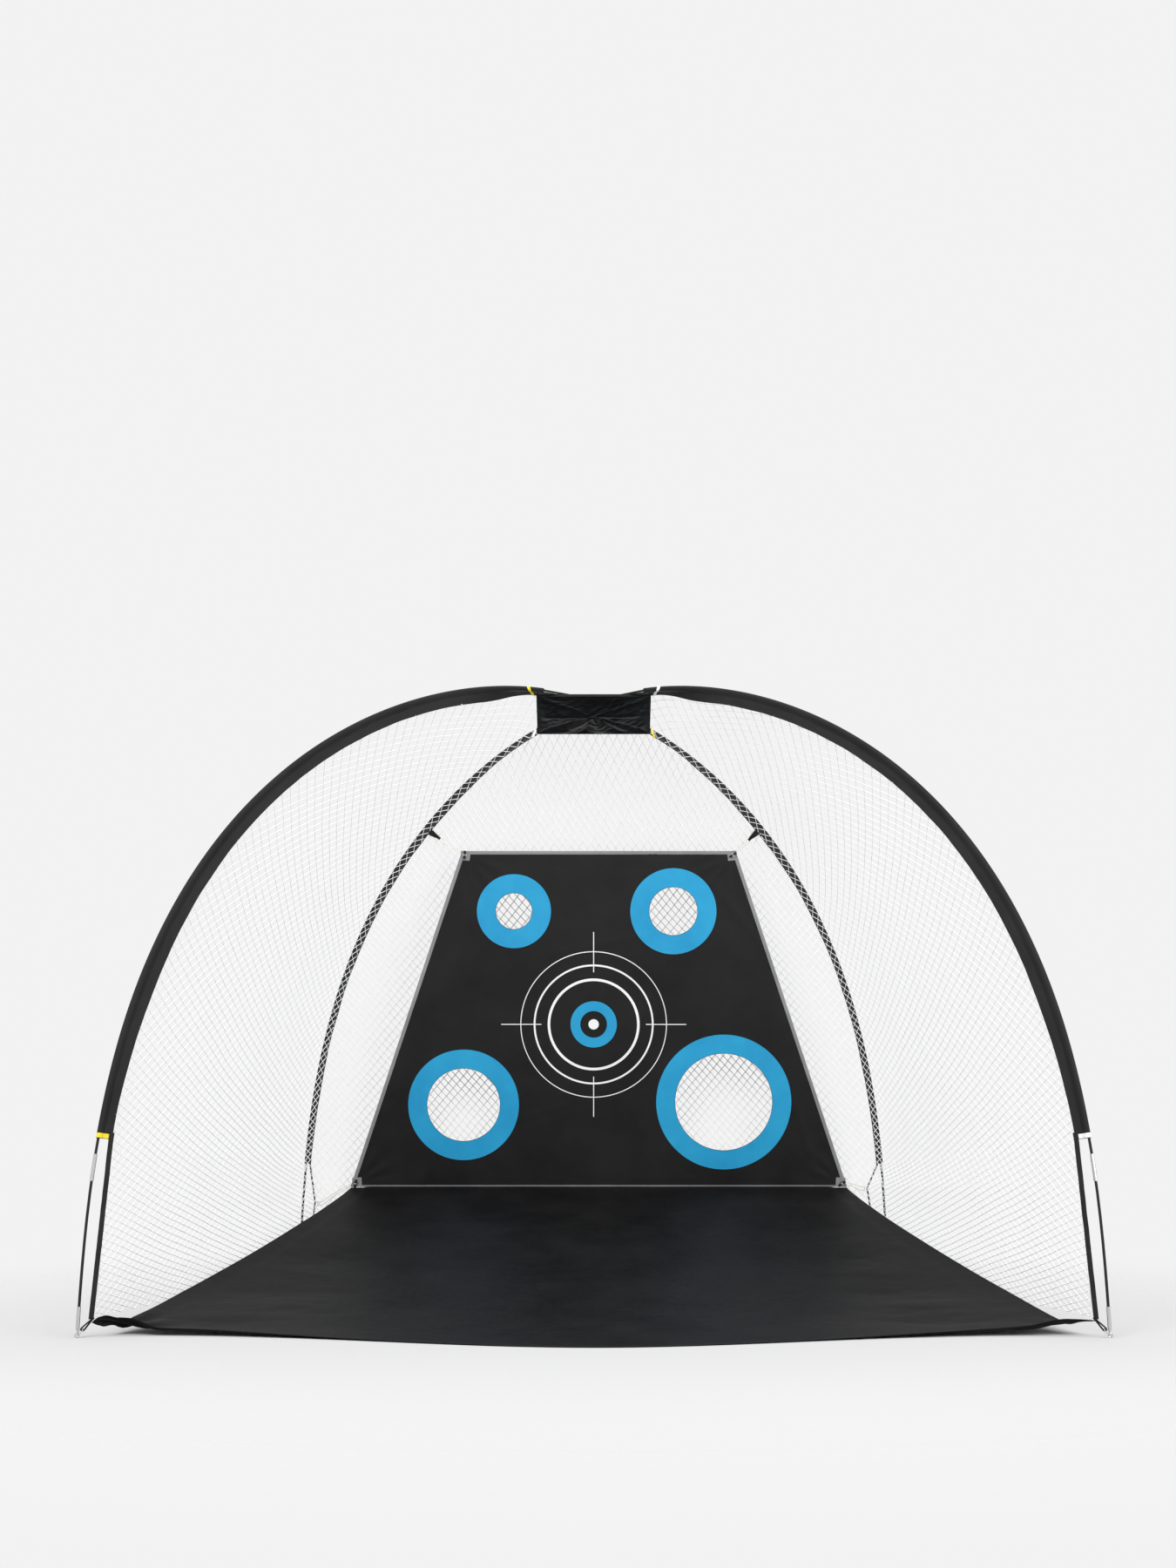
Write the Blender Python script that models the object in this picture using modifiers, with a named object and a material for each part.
"""Golf chipping net: two shock-corded poles crossing over a net dome, with a target sheet hung on toggles.

Metres, +Z up. X runs across the mouth, the mouth faces -Y, and Z = 0 is the ground.
Every route is worked out from the line between the two front feet, and the empty "stand" then
moves the whole net so that the middle of its footprint is at the origin.
"""

import math

import bmesh
import bpy
import numpy as np
from mathutils import Matrix, Vector

# Frame
FRONT_WIDTH = 2.880  # between the front feet
REAR_WIDTH = 2.307  # between the rear feet
DEPTH = 1.872  # from the front feet to the rear feet
APEX = 2.134  # height of the arches at mid-length
ARCH_POWER, ARCH_ROUND = 1.839, 2.654  # exponents of the arch outline
FOOTPRINT_MIDDLE = 0.82434  # from the front feet line to the middle of the footprint
GAP = 0.0004  # kept between pieces that touch

# Poles: twelve sections of half a metre
SECTION = 0.500
POLE_RADIUS, POLE_BORE = 0.00425, 0.0024
CROSSING_LIFT, CROSSING_REACH = 0.0047, 0.10
FERRULE_LENGTH, FERRULE_RADIUS, FERRULE_BORE = 0.075, 0.0056, 0.0047
TIP_BOTTOM, TIP_SHOULDER, TIP_TOP = 0.024, 0.052, 0.083
TIP_RADIUS, TIP_PIN_BORE = 0.00545, 0.0027
SHOCK_CORD_RADIUS, SHOCK_CORD_START = 0.00125, 0.056

# Foot fittings
EYE_RADIUS, EYE_WIRE = 0.0057, 0.0017
PIN_RADIUS, PIN_TOP, PIN_COLLAR = 0.0022, 0.050, 0.0046
RING_RADIUS, RING_WIRE = 0.0110, 0.0015
FOOT_PITCH = math.radians(45)  # rise of the ring and the loop from the foot to the sheet's corner
LOOP_WIDTH, LOOP_THICK = 0.010, 0.0012
LOOP_HALF, LOOP_STRAIGHT = 0.0050, 0.012  # half its opened height, and how far it stays open
CORNER_HEIGHT = 0.044  # of the sheet's corner, where the webbing loop ends

# Sleeves
SLEEVE_WIDTH = 0.048  # from the pole's axis to the seam
FRONT_SLEEVE = (0.545, 2.950)  # along the arch, from the front foot
REAR_SLEEVE = (3.430, 5.544)
FRONT_TURN, FRONT_TURN_ANGLE = (2.59, 2.94), math.radians(80)
REAR_TURN, REAR_TURN_ANGLE = (3.43, 4.03), math.radians(45)
REAR_HANG = math.radians(24)  # how far the side nets still turn the rear sleeves lower down
HEM_WIDTH, HEM_THICK = 0.015, 0.0016
HEM_SEAM = 0.0435  # middle of the hem tape, from the pole's axis
REAR_PULLS = {  # where the lower elastic cords pull the rear hems, by the rear foot's side
    -1: Vector((-1.094, 1.822, 0.302)),
    1: Vector((1.075, 1.815, 0.359)),
}
PULL_REACH = 0.0180  # from the middle of the hem tape to the end of the lower elastic cord
TAB_LENGTH, TAB_WIDTH, TAB_THICK, TAB_LIFT = 0.040, 0.012, 0.0012, 0.0028
TAB_PLACES = (0.008, 0.060, 0.020)  # along the sleeves, in from their lower, upper and rear ends

# Target sheet, in its own plane: across, and up from its bottom edge
TARGET_SHIFT = 0.020
TARGET_BOTTOM = Vector((0, 1.757, 0.365))
TARGET_TOP = Vector((0, 1.454, 1.640))
TARGET_HALF_TOP, TARGET_HALF_BOTTOM = 0.532, 0.968
TARGET_THICK = 0.0016
BINDING_SIDE, BINDING_BOTTOM, BINDING_THICK = 0.014, 0.008, 0.0026
PATCH, PATCH_SKEW = 0.034, 0.004  # corner patches, part of the binding, and how far their sides lean
HOLES = (  # across from the poles' centre line, up, hole radius
    (-0.310, 1.076, 0.0700),
    (0.310, 1.076, 0.0935),
    (-0.5065, 0.321, 0.1415),
    (0.5065, 0.332, 0.1890),
)
GROMMET_HOLE, GROMMET_RADIUS = 0.0048, 0.0085
TOGGLE = Vector((0.034, 0.0096, 0.0060))
TOGGLE_TILTS = {"upper_left": 84, "upper_right": 33, "lower_left": 80, "lower_right": 35}  # degrees
SWING_AXIS = Vector((0, 1.477, 1.680))  # the target swings about the ends of its upper webbing tabs
EYELET_INSET = 0.015
TOGGLE_LIFT = 0.0070  # the toggle bar's centre in front of the sheet's middle

# Elastic cords and webbing tabs
CORD_RADIUS = 0.0013
WEBBING_AT, WEBBING_LENGTH = 4.070, 0.048  # along the arch, and from the seam
CORD_TURN, TURN_DEPTH = 0.0070, 0.0065  # half width and depth of the cord's turn at its anchor

# Ground sheet
SHEET_THICK = 0.0016
SHEET_CORNER = Vector((1.404, 0.026, 0.044))
SHEET_FRONT = -0.230  # front edge at the middle
SHEET_REST = 0.0010
SIDE_SAG = 0.103  # of the sheet's two side edges
SIDE_EDGE_LIFT = 0.040  # of the front edge's corners
NET_THICK, NET_INSET = 0.0012, 0.010
PATCH_MARGIN, FABRIC_THICK = 0.02, 0.0016

LEFT, RIGHT = 1, -1  # the side that a pole starts from: 1 for the front left foot


def smoothstep(value, start, end):
    t = min(1.0, max(0.0, (value - start) / (end - start)))
    return t * t * (3 - 2 * t)


# The arch, in its own vertical plane: distance along the ground, height, and length so far
RUN = math.hypot((FRONT_WIDTH + REAR_WIDTH) / 2, DEPTH)
RUN_X, RUN_Y = (FRONT_WIDTH + REAR_WIDTH) / 2 / RUN, DEPTH / RUN
ARCH_U = (1 - np.cos(np.linspace(0, math.pi, 6001))) / 2
ARCH_RUN = ARCH_U * RUN
ARCH_HEIGHT = APEX * (1 - np.abs(2 * ARCH_U - 1) ** ARCH_POWER).clip(0) ** (1 / ARCH_ROUND)
ARCH_LENGTH = np.concatenate([[0], np.cumsum(np.hypot(np.diff(ARCH_RUN), np.diff(ARCH_HEIGHT)))])
POLE_LENGTH = float(ARCH_LENGTH[-1])
CROSSING = float(np.interp(FRONT_WIDTH / 2 / RUN_X, ARCH_RUN, ARCH_LENGTH))


def arch(side, s):
    """Point, tangent, inward normal and sideways normal of a pole's axis, s along it."""
    run, height = (float(np.interp(s, ARCH_LENGTH, row)) for row in (ARCH_RUN, ARCH_HEIGHT))
    reach = 0.004
    ends = [np.interp([s - reach, s + reach], ARCH_LENGTH, row) for row in (ARCH_RUN, ARCH_HEIGHT)]
    slope = Vector((float(ends[0][1] - ends[0][0]), float(ends[1][1] - ends[1][0]))).normalized()
    along = Vector((side * RUN_X, RUN_Y, 0))
    up = Vector((0, 0, 1))
    lift = side * CROSSING_LIFT * math.exp(-(((s - CROSSING) / CROSSING_REACH) ** 2))
    point = Vector((-side * FRONT_WIDTH / 2, 0, 0)) + along * run + up * (height + lift)
    return (
        point,
        along * slope.x + up * slope.y,
        along * slope.y - up * slope.x,
        Vector((-side * RUN_Y, RUN_X, 0)),
    )


def sleeve_direction(side, s):
    """Across the sleeve, from the pole to the seam: in the arch's plane, and turned towards the net at the top."""
    _, _, inward, sideways = arch(side, s)
    if s < CROSSING:
        turn = FRONT_TURN_ANGLE * smoothstep(s, *FRONT_TURN)
        return inward * math.cos(turn) + sideways * math.sin(turn)
    turn = REAR_TURN_ANGLE + (REAR_HANG - REAR_TURN_ANGLE) * smoothstep(s, *REAR_TURN)
    return inward * math.cos(turn) - sideways * math.sin(turn)


def seam(side, s, reach=SLEEVE_WIDTH):
    return arch(side, s)[0] + sleeve_direction(side, s) * reach


# Building helpers


def make_material(name, colour, roughness, metallic=0.0):
    material = bpy.data.materials.new(name)
    material.use_nodes = True
    shader = material.node_tree.nodes["Principled BSDF"]
    shader.inputs["Base Color"].default_value = (*colour, 1)
    shader.inputs["Roughness"].default_value = roughness
    shader.inputs["Metallic"].default_value = metallic
    return material


def add(name, data, material, collection="net"):
    obj = bpy.data.objects.new(name, data)
    if hasattr(data, "materials"):
        data.materials.append(material)
    bpy.data.collections[collection].objects.link(obj)
    obj.parent = bpy.data.objects["stand"]
    return obj


def mesh_from(name, mesh):
    data = bpy.data.meshes.new(name)
    bmesh.ops.recalc_face_normals(mesh, faces=mesh.faces)
    mesh.to_mesh(data)
    mesh.free()
    data.shade_smooth()
    data.set_sharp_from_angle(angle=math.radians(35))
    return data


def solidify(obj, thickness, offset=0.0):
    modifier = obj.modifiers.new("Thickness", "SOLIDIFY")
    modifier.thickness = thickness
    modifier.offset = offset
    modifier.use_even_offset = False
    return obj


def boolean(obj, operation, other):
    modifier = obj.modifiers.new(operation.title(), "BOOLEAN")
    modifier.operation = operation
    modifier.object = other
    modifier.solver = "EXACT"
    other.hide_render = True
    other.display_type = "WIRE"


def curve_through(name, points, radius, material, resolution=2, caps=True):
    """A wire or tube: a poly spline with a round bevel."""
    data = bpy.data.curves.new(name, "CURVE")
    data.dimensions = "3D"
    data.bevel_depth = radius
    data.bevel_resolution = resolution
    data.use_fill_caps = caps
    spline = data.splines.new("POLY")
    spline.points.add(len(points) - 1)
    for place, point in zip(spline.points, points):
        place.co = (*point, 1)
    return add(name, data, material)


def pipe(name, points, outer, inner, material, resolution=2):
    """A tube with a bore: an open bevelled curve with a wall."""
    obj = curve_through(name, points, outer, material, resolution, caps=False)
    return solidify(obj, outer - inner, -1)


def outline(name, rings, thickness, material, frame=None):
    """A flat plate from 2D outlines, the first round the others, centred on its thickness."""
    data = bpy.data.curves.new(name, "CURVE")
    data.dimensions = "2D"
    data.fill_mode = "BOTH"
    data.extrude = thickness / 2
    for ring in rings:
        spline = data.splines.new("POLY")
        spline.points.add(len(ring) - 1)
        for place, (x, y) in zip(spline.points, ring):
            place.co = (x, y, 0, 1)
        spline.use_cyclic_u = True
    obj = add(name, data, material)
    if frame:
        obj.matrix_local = frame
    return obj


def circle(x, y, radius, count):
    turns = [2 * math.pi * k / count for k in range(count)]
    return [(x + radius * math.cos(a), y + radius * math.sin(a)) for a in turns]


def turned(name, profile, material, steps=16):
    """A turned piece: profile points (radius, height), closed, down its outer side first."""
    mesh = bmesh.new()
    points = [mesh.verts.new((x, 0, z)) for x, z in profile]
    for a, b in zip(points, points[1:] + points[:1]):
        if a.co.x or b.co.x:
            mesh.edges.new((a, b))
    data = bpy.data.meshes.new(name)
    mesh.to_mesh(data)
    mesh.free()
    obj = add(name, data, material)
    screw = obj.modifiers.new("Turn", "SCREW")
    screw.steps = screw.render_steps = steps
    screw.use_merge_vertices = True
    screw.merge_threshold = 0.00001
    return obj


def torus_mesh(name, radius, wire, around=20, section=8):
    mesh = bmesh.new()
    ring = bmesh.ops.create_circle(mesh, segments=section, radius=wire)["verts"]
    bmesh.ops.rotate(mesh, verts=ring, matrix=Matrix.Rotation(math.pi / 2, 3, "X"))
    bmesh.ops.translate(mesh, verts=ring, vec=(radius, 0, 0))
    bmesh.ops.spin(
        mesh, geom=mesh.verts[:] + mesh.edges[:], cent=(0, 0, 0), axis=(0, 0, 1),
        angle=2 * math.pi, steps=around, use_merge=True,
    )
    bmesh.ops.remove_doubles(mesh, verts=mesh.verts, dist=0.00001)
    return mesh_from(name, mesh)


def sheet_mesh(name, across, along, place):
    """A grid whose points are put in space by place(u, v), with u and v from 0 to 1."""
    mesh = bmesh.new()
    bmesh.ops.create_grid(mesh, x_segments=across, y_segments=along, size=0.5)
    for vert in mesh.verts:
        vert.co = place(vert.co.x + 0.5, vert.co.y + 0.5)
    return mesh_from(name, mesh)


def loft(name, rings, holes=None):
    """A body through matching closed rings of points; with holes, it is a tube open at both ends."""
    mesh = bmesh.new()
    outer = [[mesh.verts.new(p) for p in ring] for ring in rings]
    inner = [[mesh.verts.new(p) for p in ring] for ring in holes or []]
    count = len(outer[0])
    for walls in (outer, inner):
        for ring, following in zip(walls, walls[1:]):
            for k in range(count):
                j = (k + 1) % count
                mesh.faces.new((ring[k], ring[j], following[j], following[k]))
    for end in (0, -1):
        if inner:
            for k in range(count):
                j = (k + 1) % count
                mesh.faces.new((outer[end][k], outer[end][j], inner[end][j], inner[end][k]))
        else:
            mesh.faces.new(outer[end])
    return mesh_from(name, mesh)


def frame_of(origin, x_axis, y_axis):
    """A placing matrix from two axes at right angles."""
    z_axis = x_axis.cross(y_axis)
    return Matrix.Translation(origin) @ Matrix((x_axis, y_axis, z_axis)).transposed().to_4x4()


def side_name(side, rear):
    return "left" if (side == LEFT) != rear else "right"


def place_name(side, rear):
    return f"{'rear' if rear else 'front'}_{side_name(side, rear)}"


# Poles


def pole_points(side, start, end, count):
    """Points on the axis, with close ones at each end, where the ferrules fit round it."""
    close = (0.018, 0.040)
    stations = np.linspace(start, end, count)
    if count > 7:
        inner = stations[1:-1]
        ends = [start + step for step in close], [end - step for step in reversed(close)]
        stations = [start, *ends[0], *inner, *ends[1], end]
    return [arch(side, s)[0] for s in stations]


def make_pole(side, name):
    """One pole: end sections, the run of ten sections in the sleeves, two ferrules and the cord inside."""
    fibreglass, steel, elastic = (bpy.data.materials[n] for n in ("fibreglass", "steel", "elastic"))
    start, joint = TIP_SHOULDER + GAP, SECTION - FERRULE_LENGTH / 2
    far = POLE_LENGTH - joint
    wall = (POLE_RADIUS, POLE_BORE)
    pipe(f"{name}_front_leg", pole_points(side, start, joint - GAP / 2, 7), *wall, fibreglass)
    pipe(f"{name}_span", pole_points(side, joint + GAP / 2, far - GAP / 2, 44), *wall, fibreglass)
    pipe(f"{name}_rear_leg", pole_points(side, far + GAP / 2, POLE_LENGTH - start, 7), *wall, fibreglass)
    for end, middle in (("front", joint), ("rear", far)):
        reach = FERRULE_LENGTH / 2
        points = pole_points(side, middle - reach, middle + reach, 3)
        pipe(f"{name}_{end}_ferrule", points, FERRULE_RADIUS, FERRULE_BORE, steel, 4)
    points = pole_points(side, SHOCK_CORD_START, POLE_LENGTH - SHOCK_CORD_START, 52)
    curve_through(f"{name}_shock_cord", points, SHOCK_CORD_RADIUS, elastic, 1)


# Feet


def foot_axes(side, rear):
    """The foot's place, and the directions up to the sheet's corner and sideways."""
    place = arch(side, POLE_LENGTH if rear else 0)[0]
    place.z = 0
    inboard = Vector((side * RUN_X, RUN_Y, 0)) * (-1 if rear else 1)
    rise = inboard * math.cos(FOOT_PITCH) + Vector((0, 0, math.sin(FOOT_PITCH)))
    sideways = Vector((0, 0, 1)).cross(inboard)
    return place, inboard, rise, sideways


def make_tip(name, place):
    profile = (
        (TIP_RADIUS, TIP_TOP), (TIP_RADIUS, TIP_BOTTOM), (TIP_PIN_BORE, TIP_BOTTOM),
        (TIP_PIN_BORE, TIP_SHOULDER), (FERRULE_BORE, TIP_SHOULDER), (FERRULE_BORE, TIP_TOP),
    )
    turned(f"{name}_pole_tip", profile, bpy.data.materials["steel"], 12).location = place


def make_pin(name, place, sideways):
    """The pin: a shank in the tip's bore, a collar under the tip and an eye that stands on the ground."""
    steel = bpy.data.materials["steel"]
    eye = place + Vector((0, 0, EYE_RADIUS + EYE_WIRE))
    collar_top = TIP_BOTTOM - GAP
    profile = (
        (0, PIN_TOP), (PIN_RADIUS, PIN_TOP), (PIN_RADIUS, collar_top), (PIN_COLLAR, collar_top),
        (PIN_COLLAR, collar_top - 0.003), (PIN_RADIUS, collar_top - 0.003),
        (PIN_RADIUS, eye.z + EYE_RADIUS), (0, eye.z + EYE_RADIUS),
    )
    shank = turned(f"{name}_pin_shank", profile, steel, 8)
    shank.location = place
    bpy.data.collections["net"].objects.unlink(shank)
    bpy.data.collections["cutters"].objects.link(shank)
    pin = add(f"{name}_pin", torus_mesh("pin_eye", EYE_RADIUS, EYE_WIRE, 12, 8), steel)
    pin.matrix_local = frame_of(eye, Vector((0, 0, 1)), sideways.cross(Vector((0, 0, 1))))
    boolean(pin, "UNION", shank)
    return eye


def make_ring(name, eye, rise, sideways):
    """The ring through the pin's eye, with its origin in the eye, where it turns."""
    mesh = torus_mesh("ring", RING_RADIUS, RING_WIRE, 14, 6)
    mesh.transform(Matrix.Translation((RING_RADIUS, 0, 0)))
    ring = add(f"{name}_ring", mesh, bpy.data.materials["steel"])
    ring.matrix_local = frame_of(eye, rise, sideways)


def make_corner_loop(name, eye, rise, sideways, end):
    """The webbing loop between the ring and the sheet's corner, slack on the ring."""
    start = 2 * RING_RADIUS - 0.0063
    length = (end - eye).length - GAP
    half, inner, open_end = LOOP_HALF, LOOP_HALF - LOOP_THICK, start + LOOP_STRAIGHT
    outer = [(start, half - 0.001), (start + 0.001, half), (open_end, half), (length, 0.0022)]
    slot = [
        (start + LOOP_THICK, inner - 0.0004), (start + LOOP_THICK + 0.0008, inner),
        (open_end, inner), (open_end + 0.004, 0.0008),
    ]
    rings = [line + [(x, -y) for x, y in reversed(line)] for line in (outer, slot)]
    aim = (end - eye).normalized()
    across = sideways.cross(aim)
    outline(f"{name}_corner_loop", rings, LOOP_WIDTH, bpy.data.materials["webbing"],
            frame_of(eye, aim, across))


def make_foot(side, rear):
    name = place_name(side, rear)
    place, _, rise, sideways = foot_axes(side, rear)
    make_tip(name, place)
    eye = make_pin(name, place, sideways)
    make_ring(name, eye, rise, sideways)
    end = eye + rise * ((CORNER_HEIGHT - eye.z) / rise.z)
    make_corner_loop(name, eye, rise, sideways, end)
    return end


# Sleeves and hems

SLEEVE_OUTER = ((-0.0074, -0.0034), (-0.0044, -0.0074), (0.0044, -0.0074), (SLEEVE_WIDTH, -0.0012))
SLEEVE_INNER = ((-0.0064, -0.0028), (-0.0036, -0.0063), (0.0040, -0.0063), (0.0380, -0.0007))


def sleeve_ring(side, s, half_section):
    """One closed section of a sleeve, from half of it: (towards the seam, sideways)."""
    point, tangent, _, _ = arch(side, s)
    across = sleeve_direction(side, s)
    out = tangent.cross(across)
    section = list(half_section) + [(x, -y) for x, y in reversed(half_section)]
    return [point + across * x + out * y for x, y in section]


def strip(name, points, width_direction, material):
    """A flat tape through the points, kept with the cutters."""
    rings = []
    for k, point in enumerate(points):
        along = (points[min(k + 1, len(points) - 1)] - points[max(k - 1, 0)]).normalized()
        wide = (width_direction - along * width_direction.dot(along)).normalized() * HEM_WIDTH / 2
        thick = along.cross(wide).normalized() * HEM_THICK / 2
        rings.append([point + wide + thick, point - wide + thick, point - wide - thick, point + wide - thick])
    return add(name, loft(name, rings), material, "cutters")


def make_sleeve(side, rear, corner_end):
    """A pole sleeve, sewn to the hem tape that runs on down to the foot's webbing."""
    start, end = REAR_SLEEVE if rear else FRONT_SLEEVE
    stations = np.linspace(start, end, 20)
    name = f"{place_name(side, rear)}_sleeve"
    rings = [sleeve_ring(side, s, SLEEVE_OUTER) for s in stations]
    holes = [sleeve_ring(side, s, SLEEVE_INNER) for s in stations]
    fabric = bpy.data.materials["sleeve_fabric"]
    sleeve = add(name, loft(name, rings, holes), fabric)
    low = end if rear else start
    into = -0.020 if rear else 0.020
    points = [seam(side, low + into, HEM_SEAM), seam(side, low - into * 0.1, HEM_SEAM)]
    if rear:
        points.append(REAR_PULLS[side])
    points.append(corner_end + Vector((0, 0, 0.0030)))
    hem = strip(f"{name}_hem", points, sleeve_direction(side, low), fabric)
    boolean(sleeve, "UNION", hem)


def colour_tab(name, side, s, colour, facing):
    """A coloured webbing tab sewn across a sleeve's face."""
    point, tangent, _, _ = arch(side, s)
    across = sleeve_direction(side, s)
    out = tangent.cross(across) * facing
    (near, thick), (far, thin) = SLEEVE_OUTER[2:]
    lie = (across - out * (thin - thick) / (near - far)).normalized()
    rest = point + across * near + out * (TAB_LIFT - thick + TAB_THICK / 2)
    half = TAB_WIDTH / 2
    corners = [(0, -half), (TAB_LENGTH, -half), (TAB_LENGTH, half), (0, half)]
    outline(name, [corners], TAB_THICK, bpy.data.materials[colour], frame_of(rest, lie, tangent))


def clear_scene():
    for obj in list(bpy.data.objects):
        bpy.data.objects.remove(obj, do_unlink=True)
    for name in ("net", "cutters"):
        collection = bpy.data.collections.new(name)
        bpy.context.scene.collection.children.link(collection)
    stand = bpy.data.objects.new("stand", None)
    stand.location = (0, -FOOTPRINT_MIDDLE, 0)
    bpy.context.scene.collection.objects.link(stand)


# Nets, crossing patch and ground sheet


def path_through(points):
    """A function that gives the point at a fraction of the length of a polyline."""
    rows = np.array([tuple(p) for p in points])
    lengths = np.concatenate([[0], np.cumsum(np.linalg.norm(np.diff(rows, axis=0), axis=1))])
    return lambda t: Vector([float(np.interp(t * lengths[-1], lengths, row)) for row in rows.T])


def net_border(side, rear, corner):
    """The net's edge beside a pole: from the foot's webbing up the hem and the sleeve's seam to the patch."""
    start, end = (REAR_SLEEVE[1], REAR_SLEEVE[0]) if rear else FRONT_SLEEVE
    inboard = foot_axes(side, rear)[1]
    points = [corner + inboard * 0.012 + Vector((0, 0, 0.008))]
    if rear:
        points.append(REAR_PULLS[side] + inboard * 0.020)
    points += [seam(side, s, SLEEVE_WIDTH + 0.002) for s in np.linspace(start, end, 24)]
    return path_through(points)


def ruled(first, second, inset):
    """A surface of straight lines between two paths, its edges kept clear of them."""

    def place(u, v):
        a, b = first(v), second(v)
        clear = inset / (b - a).length
        return a.lerp(b, clear + (1 - 2 * clear) * u)

    return place


def make_nets(borders):
    netting = bpy.data.materials["netting"]
    panels = {
        "left_net": (borders["front_left"], borders["rear_left"], 8),
        "right_net": (borders["front_right"], borders["rear_right"], 8),
        "back_net": (borders["rear_left"], borders["rear_right"], 6),
    }
    for name, (first, second, across) in panels.items():
        mesh = sheet_mesh(name, across, 20, ruled(first, second, NET_INSET))
        solidify(add(name, mesh, netting), NET_THICK)


def make_crossing_patch(borders):
    """The fabric patch under the crossing, between the ends of the four sleeves."""
    front = [borders[f"front_{side}"](1) for side in ("left", "right")]
    rear = [borders[f"rear_{side}"](1) for side in ("left", "right")]

    def place(u, v):
        across, down = (PATCH_MARGIN + (1 - 2 * PATCH_MARGIN) * part for part in (u, v))
        return front[0].lerp(front[1], across).lerp(rear[0].lerp(rear[1], across), down)

    mesh = sheet_mesh("crossing_patch", 6, 5, place)
    solidify(add("crossing_patch", mesh, bpy.data.materials["sleeve_fabric"]), FABRIC_THICK)


def front_edge(x):
    """The ground sheet's front edge: bowed forward on the ground, and lifted at its corners."""
    part = abs(x) / SHEET_CORNER.x
    y = SHEET_FRONT + 0.256 * math.sin(math.pi / 2 * min(1, part * 1.22)) ** 1.9
    return Vector((x, y, SHEET_REST + SIDE_EDGE_LIFT * part**4))


def sheet_point(u, v):
    """The ground sheet, u across from left to right and v from its front edge to the target."""
    x_front = SHEET_CORNER.x * (2 * u - 1)
    x_rear = TARGET_SHIFT + (TARGET_HALF_BOTTOM - 0.002) * (2 * u - 1)
    front, rear = front_edge(x_front), Vector((x_rear, TARGET_BOTTOM.y - 0.001, TARGET_BOTTOM.z - 0.0035))
    edge = abs(2 * u - 1)
    height = rear.z * (0.28 * v + 0.72 * v**2.6) * (1 - edge**3)
    sag = SIDE_SAG * v**0.35 * (1 - v) ** 0.7
    height += (front.z + (rear.z - front.z) * v - sag) * edge**3
    point = front.lerp(rear, v)
    point.z = max(SHEET_REST, height + front.z * (1 - v) * (1 - edge**3))
    return point


def make_ground_sheet():
    mesh = sheet_mesh("ground_sheet", 20, 12, sheet_point)
    solidify(add("ground_sheet", mesh, bpy.data.materials["target_fabric"]), SHEET_THICK)


# Target sheet


def target_frame():
    """Origin at the middle of the bottom edge, x across, y up the sheet, z out of its front."""
    up = (TARGET_TOP - TARGET_BOTTOM).normalized()
    origin = TARGET_BOTTOM + Vector((TARGET_SHIFT, 0, 0))
    return frame_of(origin, Vector((1, 0, 0)), up)


TARGET_HEIGHT = (TARGET_TOP - TARGET_BOTTOM).length


TARGET_SLOPE = (TARGET_HALF_BOTTOM - TARGET_HALF_TOP) / TARGET_HEIGHT


def half_width(y, inset=0.0):
    """From the target's middle to its side edge at this height, moved in from the edge."""
    return TARGET_HALF_BOTTOM - TARGET_SLOPE * y - inset * math.hypot(1, TARGET_SLOPE)


def target_corner(name, inset=0.0):
    """A corner of the sheet in its own plane, moved in from the edges."""
    sign = -1 if "left" in name else 1
    y = inset if "lower" in name else TARGET_HEIGHT - inset
    return Vector((sign * half_width(y, inset), y, 0))


CORNERS = ("lower_left", "lower_right", "upper_right", "upper_left")


def inner_outline(gap):
    """The inner edge of the binding with its four corner patches, moved inwards by gap."""
    low, high = BINDING_BOTTOM + gap, TARGET_HEIGHT - BINDING_SIDE - gap
    side, deep = BINDING_SIDE + gap, PATCH + gap
    under = TARGET_HEIGHT - deep
    points = [
        (half_width(low) - deep - PATCH_SKEW, low), (half_width(deep) - deep - PATCH_SKEW, deep),
        (half_width(deep, side), deep), (half_width(under, side), under),
        (half_width(under) - deep + PATCH_SKEW, under), (half_width(high) - deep - PATCH_SKEW, high),
    ]
    return points + [(-x, y) for x, y in reversed(points)]


def make_target():
    frame = target_frame()
    fabric, grey = bpy.data.materials["target_fabric"], bpy.data.materials["binding"]
    holes = [circle(x - TARGET_SHIFT, y, radius, 28) for x, y, radius in HOLES]
    outline("target_sheet", [inner_outline(GAP)] + holes, TARGET_THICK, fabric, frame)
    rim = [tuple(target_corner(name).xy) for name in CORNERS]
    eyelets = [circle(*target_corner(name, EYELET_INSET).xy, GROMMET_HOLE + 0.0014, 16) for name in CORNERS]
    outline("target_binding", [rim, inner_outline(0)] + eyelets, BINDING_THICK, grey, frame)
    for name in CORNERS:
        make_corner_fittings(name, frame)
    hang_target()


def hang_target():
    """Parents what swings with the target to an empty on the axis that it swings about."""
    swing = bpy.data.objects.new("target_swing", None)
    bpy.context.scene.collection.objects.link(swing)
    swing.parent = bpy.data.objects["stand"]
    swing.location = SWING_AXIS
    for obj in list(bpy.data.collections["net"].objects):
        if obj.name.startswith("target_") or obj.name.endswith(("_eyelet", "_toggle")):
            obj.parent = swing
            obj.matrix_parent_inverse = Matrix.Translation(-SWING_AXIS)


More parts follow.
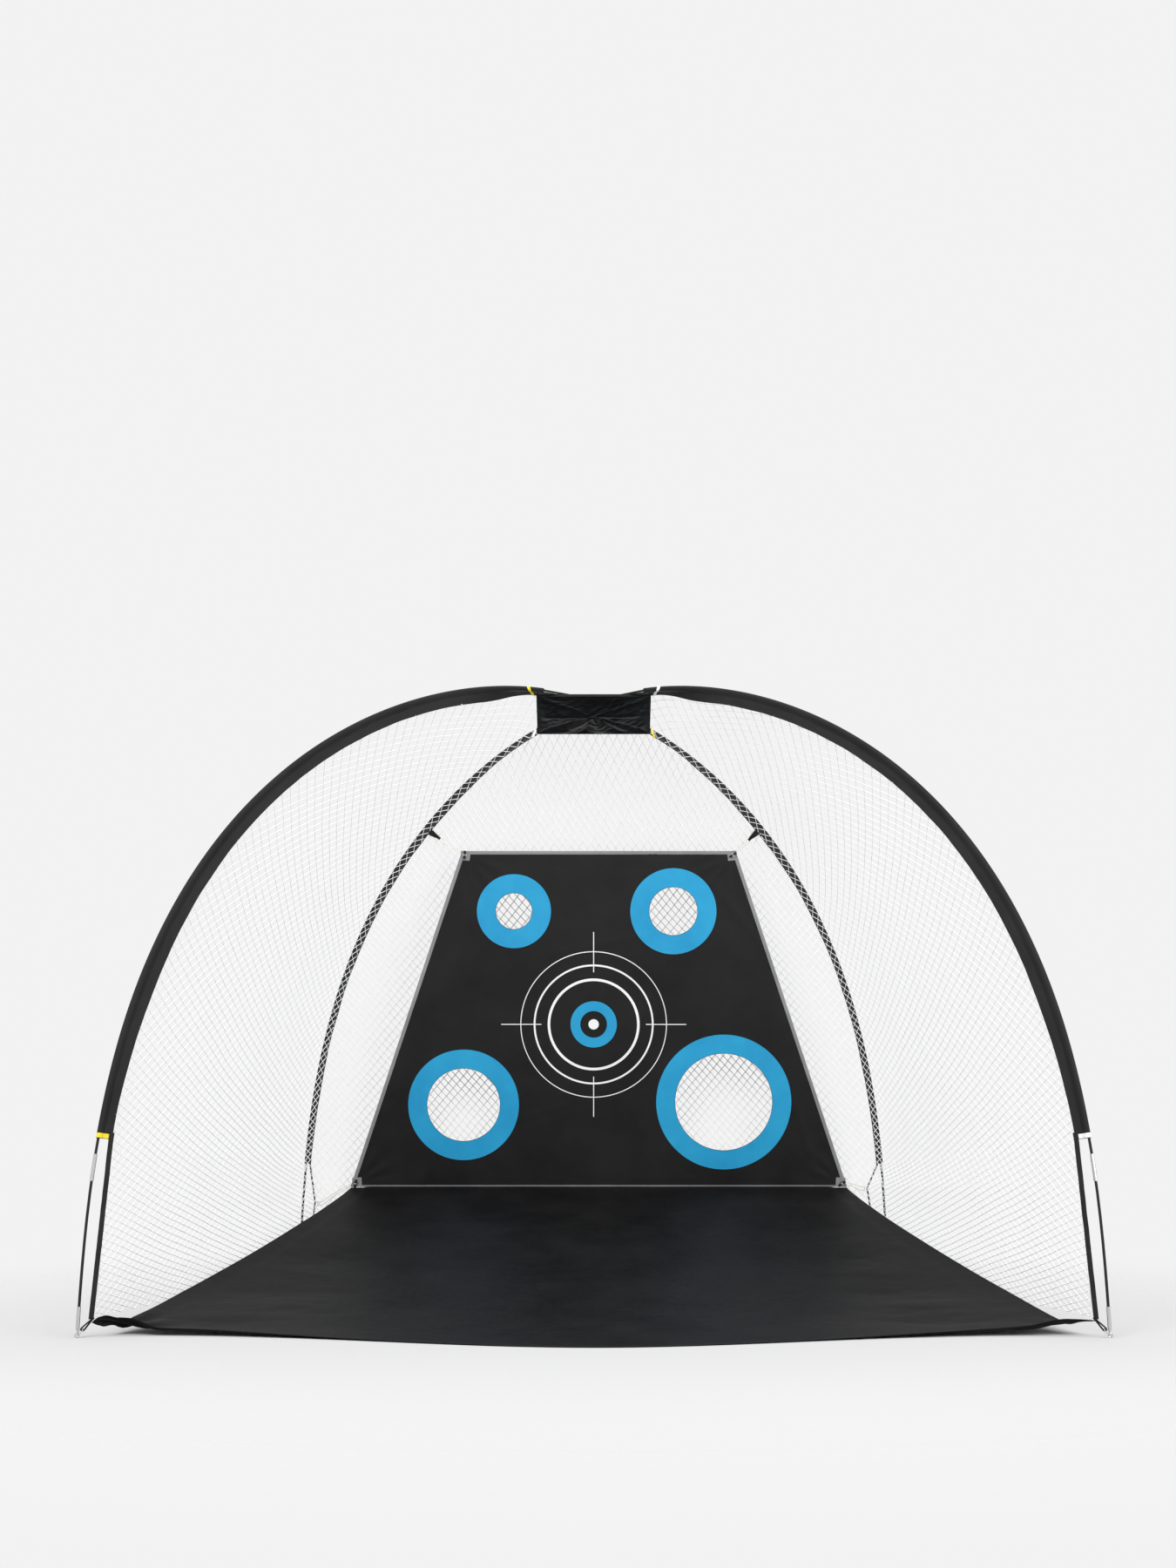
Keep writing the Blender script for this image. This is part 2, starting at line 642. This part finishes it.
def make_grommet(name, frame, centre):
    """A metal eyelet: a barrel through the corner patch with a flange on each face."""
    half, flange = BINDING_THICK / 2 + GAP, 0.0007
    barrel = GROMMET_HOLE + 0.0010
    profile = (
        (GROMMET_RADIUS, half + flange), (GROMMET_RADIUS, half), (barrel, half), (barrel, -half),
        (GROMMET_RADIUS, -half), (GROMMET_RADIUS, -half - flange),
        (GROMMET_HOLE, -half - flange), (GROMMET_HOLE, half + flange),
    )
    grommet = turned(f"{name}_eyelet", profile, bpy.data.materials["steel"], 12)
    grommet.matrix_local = frame @ Matrix.Translation(centre)


def make_toggle(name, frame, centre):
    """The toggle bar across the front of the eyelet, with its origin on the cord that it turns about."""
    mesh = bmesh.new()
    bmesh.ops.create_cube(mesh, size=1, matrix=Matrix.Diagonal((*TOGGLE, 1)))
    mesh_data = mesh_from("toggle", mesh)
    toggle = add(f"{name}_toggle", mesh_data, bpy.data.materials["toggle_plastic"])
    turn = math.radians(TOGGLE_TILTS[name])
    lift = Vector((0, 0, TOGGLE_LIFT))
    toggle.matrix_local = frame @ Matrix.Translation(centre + lift) @ Matrix.Rotation(turn, 4, "Z")
    bevel = toggle.modifiers.new("Round", "BEVEL")
    bevel.width = 0.0024
    bevel.segments = 2


def webbing_axis(side, eyelet):
    """A webbing tab's start at the rear sleeve's seam, its direction to the target's corner, and its width's."""
    start = seam(side, WEBBING_AT, SLEEVE_WIDTH + 0.0030)
    aim = (eyelet - start).normalized()
    tangent = arch(side, WEBBING_AT)[1]
    return start, aim, (tangent - aim * tangent.dot(aim)).normalized()


def cord_route(name, frame, centre):
    """A doubled elastic cord: from the toggle through the eyelet, round its anchor and back."""
    side = -1 if "left" in name else 1
    eyelet = frame @ centre
    front = (frame.to_3x3() @ Vector((0, 0, 1))).normalized()
    if "upper" in name:
        start, aim, spread = webbing_axis(side, eyelet)
        anchor, pull = start + aim * WEBBING_LENGTH, -aim
    else:
        inboard, spread = foot_axes(side, True)[1], Vector((0, 0, 1))
        anchor, pull = REAR_PULLS[side] + inboard * PULL_REACH, -inboard
    lead = (anchor - eyelet).normalized()
    back = eyelet - front * 0.010
    near = front * (TOGGLE_LIFT - TOGGLE.z / 2 - 3 * GAP)
    runs = []
    for off in (spread, -spread):
        runs.append([
            eyelet + near + off * 0.0017,
            eyelet + off * 0.0017,
            back + off * 0.0019 + lead * 0.004,
            back + off * 0.0030 + lead * 0.022 - front * 0.002,
            (back + lead * 0.022).lerp(anchor, 0.5) + off * CORD_TURN * 0.75,
            anchor - pull * 0.020 + off * CORD_TURN,
        ])
    turn = [
        anchor + pull * TURN_DEPTH * math.sin(a) + spread * CORD_TURN * math.cos(a)
        for a in np.radians([20, 55, 90, 125, 160])
    ]
    return runs[0] + turn + runs[1][::-1]


def smooth_through(points, per_stretch):
    """Points on a Catmull-Rom curve through the route."""
    rows = [2 * points[0] - points[1]] + points + [2 * points[-1] - points[-2]]
    out = []
    for a, b, c, d in zip(rows, rows[1:], rows[2:], rows[3:]):
        for k in range(per_stretch):
            t = k / per_stretch
            out.append(
                0.5 * (2 * b + (c - a) * t + (2 * a - 5 * b + 4 * c - d) * t**2 + (3 * b - a - 3 * c + d) * t**3)
            )
    return out + [points[-1]]


def make_corner_fittings(name, frame):
    centre = target_corner(name, EYELET_INSET)
    make_grommet(name, frame, centre)
    make_toggle(name, frame, centre)
    route = smooth_through(cord_route(name, frame, centre), 2)
    curve_through(f"{name}_elastic_cord", route, CORD_RADIUS, bpy.data.materials["elastic"], 1)


def make_webbing_tab(name):
    """A webbing tab from the rear sleeve's seam, with a slot for the elastic cord at its end."""
    side = -1 if name == "left" else 1
    frame = target_frame()
    start, aim, spread = webbing_axis(side, frame @ target_corner(f"upper_{name}", EYELET_INSET))
    length, half = WEBBING_LENGTH, 0.0034
    slot = half - LOOP_THICK
    rim = [(0, 0.0014), (length - 0.012, half), (length, half)]
    hole = [(length - 0.0105, slot * 0.5), (length - 0.0075, slot), (length - LOOP_THICK, slot)]
    rings = [line + [(x, -y) for x, y in reversed(line)] for line in (rim, hole)]
    frame = frame_of(start, aim, spread.cross(aim))
    outline(f"{name}_webbing_tab", rings, LOOP_WIDTH, bpy.data.materials["webbing"], frame)


MATERIALS = {
    "fibreglass": ((0.012, 0.012, 0.013), 0.35, 0.0),
    "steel": ((0.62, 0.62, 0.63), 0.28, 1.0),
    "elastic": ((0.80, 0.80, 0.78), 0.80, 0.0),
    "webbing": ((0.015, 0.015, 0.016), 0.85, 0.0),
    "sleeve_fabric": ((0.018, 0.018, 0.019), 0.75, 0.0),
    "target_fabric": ((0.020, 0.020, 0.021), 0.55, 0.0),
    "binding": ((0.55, 0.55, 0.56), 0.60, 0.0),
    "netting": ((0.85, 0.85, 0.86), 0.70, 0.0),
    "toggle_plastic": ((0.010, 0.010, 0.011), 0.30, 0.0),
    "yellow_webbing": ((0.85, 0.66, 0.03), 0.70, 0.0),
    "white_webbing": ((0.85, 0.85, 0.85), 0.70, 0.0),
}


def make_side(side, name, colour):
    """A pole with its feet, sleeves and coloured tabs, and the paths of the nets' edges beside it."""
    make_pole(side, name)
    borders = {}
    for rear in (False, True):
        corner = make_foot(side, rear)
        make_sleeve(side, rear, corner)
        borders[place_name(side, rear)] = net_border(side, rear, corner)
    front, rear = place_name(side, False), place_name(side, True)
    colour_tab(f"{front}_lower_tab", side, FRONT_SLEEVE[0] + TAB_PLACES[0], colour, -side)
    colour_tab(f"{front}_upper_tab", side, FRONT_SLEEVE[1] - TAB_PLACES[1], colour, -side)
    colour_tab(f"{rear}_tab", side, REAR_SLEEVE[0] + TAB_PLACES[2], colour, side)
    return borders


def build():
    clear_scene()
    for name, values in MATERIALS.items():
        make_material(name, *values)
    borders = make_side(LEFT, "yellow_pole", "yellow_webbing")
    borders.update(make_side(RIGHT, "white_pole", "white_webbing"))
    make_nets(borders)
    make_crossing_patch(borders)
    make_ground_sheet()
    make_target()
    for name in ("left", "right"):
        make_webbing_tab(name)


build()
